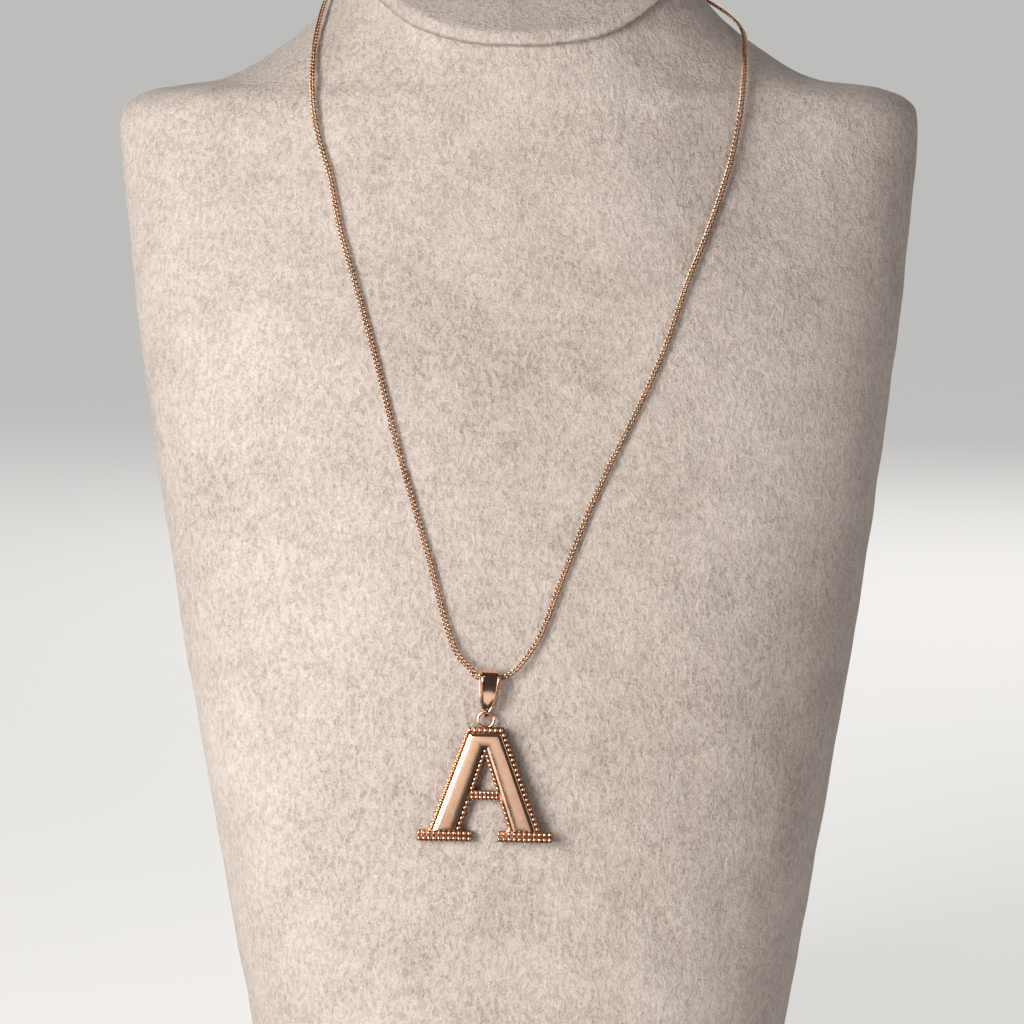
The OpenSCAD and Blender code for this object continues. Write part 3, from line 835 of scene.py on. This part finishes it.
def half_outline():
    r, right, arch = CORNER / 2, WIDTH / 2, BAR_TOP + BAR_HEIGHT
    outer_turn = math.degrees(math.atan(OUTER_RATE))
    inner_turn = math.degrees(math.atan(INNER_RATE))
    outside = outer_x(FOOT_TOP) + CORNER * (OUTER_RUN - OUTER_RATE)
    inside = inner_x(FOOT_TOP) - CORNER * (INNER_RUN + INNER_RATE)
    under_bar = inner_x(arch) - CORNER * (INNER_RUN - INNER_RATE)
    return [
        (outer_x(0), 0),
        *arc(outside, CORNER - FOOT_TOP, CORNER, 180 + outer_turn, 270),
        *arc(right - r, -FOOT_TOP - r, r, 90, 0),
        *arc(right - r, r - HEIGHT, r, 0, -90),
        *arc(FOOT_IN + r, r - HEIGHT, r, 270, 180),
        *arc(FOOT_IN + r, -FOOT_TOP - r, r, 180, 90),
        *arc(inside, CORNER - FOOT_TOP, CORNER, -90, inner_turn),
        *arc(under_bar, -arch - CORNER, CORNER, inner_turn, 90),
    ]


right_side = half_outline()
outline = right_side + [(-x, z) for x, z in reversed(right_side)]
print("The letter's outline has", len(outline), "points")

# %% [markdown]
# The plate starts as a circle whose points are moved onto the outline, and it is drawn out to its thickness.
# The counter is cut by a three-sided prism, and a fine bevel breaks all the edges, as the polishing wheel
# does.

# %% Draw out the plate and cut its counter
BROKEN_EDGE = 0.13 * MM


def flat(points, y):
    return [Vector((x, y, z)) * MM for x, z in points]


plate = draw_out("letter_plate", [flat(outline, PLATE / 2), flat(outline, -PLATE / 2)])
counter = [(0, -COUNTER_TOP), (inner_x(BAR_TOP), -BAR_TOP), (-inner_x(BAR_TOP), -BAR_TOP)]
cutter = draw_out("cutter", [flat(counter, PLATE), flat(counter, -PLATE)])
modify(plate, "BOOLEAN", operation="DIFFERENCE", solver="EXACT", object=cutter)
bpy.data.objects.remove(cutter)
modify(plate, "BEVEL", width=BROKEN_EDGE, segments=2, limit_method="ANGLE", angle_limit=math.radians(35))
smooth(settle(plate, letter_place), angle=50)
shaded_plate_gold.on(plate)
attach(plate, "letter")
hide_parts("letter")
print("The plate has", len(plate.data.polygons), "faces")

# %% [markdown]
# ## The raised face
#
# Inside the beads a smooth face stands proud of the plate, with a broad bright slope down the outside of each
# leg and a narrower one at the top and inside. The foot of the face is the plate's outline moved in by the
# width of the beads. A bevel would make all its slopes equally wide, and here they differ. So each later step
# is the outline before it with every side moved inwards by its own amount, and where two moved sides cross is
# the new corner.

# %% The outline of the face
RIM_WIDTH, FACE_TOP = 1.15, 1.6
BEAD, POINT_BEAD = 0.96, 1.15
BEAD_STEP, BEAD_INSET = 1.3, 0.6
POINT_DEPTH = COUNTER_TOP - BEAD_STEP * POINT_BEAD


def moved_in(points, by):
    """The outline with each side moved to its right, side i running from point i to the next"""
    sides = []
    for (ax, az), (bx, bz), d in zip(points, points[1:] + points[:1], by):
        run = math.hypot(bx - ax, bz - az)
        ux, uz = (bx - ax) / run, (bz - az) / run
        sides.append((ax + d * uz, az - d * ux, ux, uz))
    made = []
    for (px, pz, ux, uz), (qx, qz, vx, vz) in zip(sides[-1:] + sides[:-1], sides):
        t = ((qx - px) * vz - (qz - pz) * vx) / (ux * vz - uz * vx)
        made.append((px + t * ux, pz + t * uz))
    return made


def face_foot():
    point_z = POINT_DEPTH - BEAD_INSET * POINT_BEAD
    top_x = outer_x(FACE_TOP) - RIM_WIDTH * OUTER_RUN
    out_x = outer_x(FOOT_TOP) - RIM_WIDTH * OUTER_RUN
    in_x = inner_x(FOOT_TOP) + RIM_WIDTH * INNER_RUN
    point_x = inner_x(point_z) + RIM_WIDTH * INNER_RUN
    return [
        (out_x, -FOOT_TOP), (in_x, -FOOT_TOP), (point_x, -point_z), (-point_x, -point_z),
        (-in_x, -FOOT_TOP), (-out_x, -FOOT_TOP), (-top_x, -FACE_TOP), (top_x, -FACE_TOP),
    ]


print("Each leg's face is", round(face_foot()[0][0] - face_foot()[1][0], 1), "mm wide")

# %% [markdown]
# The face is drawn out from inside the plate upwards: up the wall, up the slopes, over a rounded edge, and in
# towards the middle in ever flatter steps. Polishing leaves a face slightly crowned like this, and that is
# what gives it a soft change of tone instead of one flat tone. A step of a slope is a share of the slope's
# width and of the face's rise. A step of the crown is a way inwards in millimetres and a share of the rise.

# %% Draw the face up from the plate
FACE_RISE, FACE_SUNK, WALL_TOP = 1.0, 0.3, 0.63
OUTER_SLOPE, TOP_SLOPE, INNER_SLOPE, FOOT_SLOPE = 0.8, 0.6, 0.55, 0.12
SLOPES = [
    FOOT_SLOPE, INNER_SLOPE, INNER_SLOPE, INNER_SLOPE,
    FOOT_SLOPE, OUTER_SLOPE, TOP_SLOPE, OUTER_SLOPE,
]
SLOPE_STEPS = [(0.05, 0.66), (0.93, 0.885), (0.975, 0.900)]
CROWN_STEPS = [(0.05, 0.912), (0.2, 0.932), (0.45, 0.960), (0.75, 0.986), (1.0, 1.0)]


def face_loop(points, rise):
    return flat(points, -PLATE / 2 - FACE_RISE * rise)


foot = face_foot()
edge = moved_in(foot, SLOPES)
face_loops = [flat(foot, FACE_SUNK - PLATE / 2), face_loop(foot, 0), face_loop(foot, WALL_TOP)]
for share, rise in SLOPE_STEPS:
    face_loops.append(face_loop(moved_in(foot, [width * share for width in SLOPES]), rise))
for inward, rise in CROWN_STEPS:
    face_loops.append(face_loop(moved_in(edge, [inward] * len(edge)), rise))
face = draw_out("letter_face", face_loops)
smooth(settle(face, letter_place), angle=12)
satin.on(face)
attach(face, "letter")
print("The face has", len(face.data.polygons), "faces")

# %% [markdown]
# ## The beads
#
# The edges carry rows of beads, called milgrain when they are rolled on by hand. Here they are cast: single
# rows along the top, the legs and the counter, and double rows on the feet and the bar. The beads are round
# on the legs, and taller where a row has a whole edge to fill. On the inner rows they are longer and lie
# aslant, so that they read as the strands of a rope, and one larger bead sits at the point of the counter. A
# shape is how much a bead is stretched across, in depth and in height. A bump in the material would be
# lighter, but the beads show in the letter's edge, so they are real.

# %% The shapes and rows of the beads
TOP_ROW = 0.77
TWO_ROWS = (0.26, 0.74)
ROPE_TURN = 45
TOP_BEADS, LEG_BEADS, FOOT_BEADS, BAR_BEADS = 7, 20, 11, 7
ROPE_ABOVE_BAR, ROPE_BELOW_BAR = 8, 6


def lying(stretch, turn=0):
    return Matrix.Rotation(math.radians(turn), 4, "Y") @ Matrix.Diagonal((*stretch, 1))


ROUND = lying((1, 1, 1))
POINT = lying([POINT_BEAD / BEAD] * 3)
TALL = lying((1, 1, 1.17))
TALLEST = lying((1.08, 1.05, 1.36))
ROPE = {side: lying((1.4, 1, 0.86), side * ROPE_TURN) for side in (-1, 1)}


def even(start, end, number):
    return [start + (end - start) * i / (number - 1) for i in range(number)]


def bead_rows():
    step = BEAD_STEP * BEAD
    leg_end = FOOT_TOP - step / 2
    top_half = TOP_WIDTH / 2 - BEAD_INSET
    bar_half = inner_x(BAR_TOP + BAR_HEIGHT / 2)
    above_bar = even(POINT_DEPTH + step, BAR_TOP - BEAD / 2, ROPE_ABOVE_BAR)
    below_bar = even(BAR_TOP + BAR_HEIGHT + step / 2, leg_end, ROPE_BELOW_BAR)
    spots = [(x, TOP_ROW, TALLEST) for x in even(-top_half, top_half, TOP_BEADS)]
    spots.append((0, POINT_DEPTH, POINT))
    for side in (-1, 1):
        for depth in even(BEAD_INSET + step, leg_end, LEG_BEADS):
            spots.append((side * (outer_x(depth) - BEAD_INSET * OUTER_RUN), depth, ROUND))
        for depth in above_bar + below_bar:
            spots.append((side * (inner_x(depth) + BEAD_INSET * INNER_RUN), depth, ROPE[side]))
        for x in even(FOOT_IN + BEAD_INSET, WIDTH / 2 - BEAD_INSET, FOOT_BEADS):
            spots += [(side * x, FOOT_TOP + row * FOOT_HEIGHT, TALL) for row in TWO_ROWS]
    for x in even(-bar_half, bar_half, BAR_BEADS):
        spots += [(x, BAR_TOP + row * BAR_HEIGHT, TALL) for row in TWO_ROWS]
    return spots


print("The letter has", len(bead_rows()), "beads")

# %% [markdown]
# One bead is a small ball of about a hundred faces, a little wider than it is deep. It is copied to each
# place, sunk to its middle in the plate, so the rows are half beads that stand on the metal as cast ones do.

# %% Model one bead and set the rows
BEAD_SPREAD = 1.08

bpy.ops.object.select_all(action="DESELECT")
bpy.ops.mesh.primitive_uv_sphere_add(segments=12, ring_count=8, radius=BEAD / 2 * MM)
bead = smooth(bpy.context.object)
bead.data.transform(Matrix.Diagonal((BEAD_SPREAD, 1, BEAD_SPREAD, 1)))
beads = copies("letter_beads", bead, [
    Matrix.Translation(Vector((x, -PLATE / 2, -depth)) * MM) @ shape for x, depth, shape in bead_rows()
])
settle(beads, letter_place)
beaded.on(beads)
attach(beads, "letter")
print("The beads have", len(beads.data.polygons), "faces")

# %% [markdown]
# ## The ring
#
# A plain wire ring is soldered to the top edge of the letter, and the foot of the bail passes through it. It
# is a torus, stood upright above the letter and then put in the letter's place with it.

# %% Make the ring
bpy.ops.object.select_all(action="DESELECT")
bpy.ops.mesh.primitive_torus_add(
    major_segments=56, minor_segments=14, major_radius=RING_RADIUS * MM, minor_radius=RING_WIRE / 2 * MM,
    location=(0, 0, RING_UP * MM), rotation=(math.pi / 2, 0, 0),
)
ring = bpy.context.object
ring.name = "letter_ring"
settle(ring)
smooth(settle(ring, letter_place))
mirror.on(ring)
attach(ring, "letter")
print("The ring has", len(ring.data.polygons), "faces")

# %% [markdown]
# ## The floor
#
# The floor is plain and pale, and it is so wide that its edges are never seen. It glows a little, more to the
# camera than to the bust, so that it stays pale where the lights don't reach. The metal doesn't mirror it,
# because a pale floor in the front of the bail would hide the shape of the hollow. A bent sheet of paper
# would do as well, but it would cut off the views from the side and from behind.

# %% Lay the floor
FLOOR_SIZE = 18.0
FLOOR_DROP = 0.3 * MM
MOTTLE_SIZE, MOTTLE_LEAST, MOTTLE_RANGE = 400 * MM, 0.3, 0.3
PAPER_DARK, PAPER_LIGHT = (0.66, 0.65, 0.64), (0.70, 0.69, 0.68)
GLOW_ROUND = (0.19, 0.189, 0.186)
GLOW_SEEN = (0.475, 0.4725, 0.465)

bpy.ops.object.select_all(action="DESELECT")
bpy.ops.mesh.primitive_grid_add(
    x_subdivisions=4, y_subdivisions=4, size=FLOOR_SIZE, location=(0, 0, -FLOOR_DROP)
)
floor = settle(bpy.context.object)
floor.name = "studio_floor"
floor.visible_glossy = False
paper = Material("floor_paper", Roughness=0.9, Emission_Strength=1.0)
mottle = paper.noise(MOTTLE_SIZE, detail=2) * MOTTLE_RANGE + MOTTLE_LEAST
paper.feed(
    Base_Color=mottle.colours(PAPER_DARK, PAPER_LIGHT),
    Emission_Color=paper.start.node("ShaderNodeLightPath").colours(GLOW_ROUND, GLOW_SEEN),
)
paper.on(floor)
print("The floor spans", [round(d, 2) for d in floor.dimensions], "m")

# %% [markdown]
# ## The light
#
# One tall soft light stands to the left of the camera. It brings out the pile of the velvet and draws a white
# line down the left of the letter, and a grid before it, which is the spread below 180 degrees, keeps it off
# the floor. A weak light at the right and another behind keep those sides from going black. Polished metal
# shows what stands before it, so three weak cards stand where the flat face of the letter, the inner slope of
# its right leg and the hollow of the bail mirror them. A picture of a room could light it all, but then no
# mirror image could be set by itself. Azimuth is counted from the camera's side towards the right, height
# from the level, both in degrees.

# %% Set the lights
WARM = (1.0, 0.97, 0.945)


def soft_light(name, aim, azimuth, height, distance, size, power, spread=180, shape="RECTANGLE"):
    a, e = math.radians(azimuth), math.radians(height)
    towards = Vector((math.sin(a) * math.cos(e), -math.cos(a) * math.cos(e), math.sin(e)))
    bpy.ops.object.light_add(type="AREA", location=aim + towards * distance)
    light = bpy.context.object
    light.name = name
    light.rotation_euler = (-towards).to_track_quat("-Z", "Y").to_euler()
    light.data.shape = shape
    light.data.size, light.data.size_y = size
    light.data.energy = power
    light.data.spread = math.radians(spread)
    light.data.color = WARM
    light.visible_camera = False
    return light


soft_light(
    "key_light", aim=Vector((0, 0, 0.13)), azimuth=-39, height=13, distance=0.92,
    size=(0.45, 0.56), power=4.6, spread=120,
)
soft_light(
    "face_card", aim=LETTER_AT * MM, azimuth=-12, height=6, distance=1.15,
    size=(0.5, 0.42), power=0.134, spread=100,
)
soft_light(
    "edge_card", aim=LETTER_AT * MM, azimuth=-58, height=-10, distance=0.3,
    size=(0.11, 0.11), power=0.055,
)
soft_light(
    "bail_card", aim=BAIL_AT * MM, azimuth=16, height=-27, distance=0.2,
    size=(0.092, 0.042), power=0.0088, shape="ELLIPSE",
)
soft_light(
    "back_fill", aim=Vector((0, 0, 0.16)), azimuth=165, height=32, distance=1.3,
    size=(0.9, 0.9), power=6.0,
)
soft_light(
    "side_fill", aim=Vector((0.04, 0, 0.08)), azimuth=58, height=14, distance=0.9,
    size=(0.4, 0.4), power=1.2,
)
lights = [obj for obj in bpy.context.scene.objects if obj.type == "LIGHT"]
print(len(lights), "lights give", round(sum(light.data.energy for light in lights), 2), "W")

# %% [markdown]
# The air behind the bust is as bright to the camera as the far floor, so that no horizon shows between them.
# To everything else it is nearly dark. Without that the metal would mirror a pale room all round, and lose
# the dark tones that make it look like metal.

# %% Light the air
AIR_COLOUR = (0.95, 0.95, 0.93, 1)
AIR_ROUND, AIR_SEEN = 0.055, 0.481

world = bpy.data.worlds.new("studio_air")
world.use_nodes = True
to_camera = Socket(world.node_tree).node("ShaderNodeLightPath")
strength = to_camera * AIR_SEEN + AIR_ROUND
background = world.node_tree.nodes["Background"]
background.inputs["Color"].default_value = AIR_COLOUR
world.node_tree.links.new(strength.out, background.inputs["Strength"])
bpy.context.scene.world = world
print("The air gives", round(AIR_SEEN + AIR_ROUND, 3), "to the camera and", AIR_ROUND, "to the metal")

# %% [markdown]
# ## Finish
#
# The finished model differs in size from the CAD model by the rounding of the cloth and the thickness of its
# pile, and at the top by the crease below the neck cap. The last cell leaves nothing selected.

# %% Finish with nothing selected
bpy.ops.object.select_all(action="DESELECT")
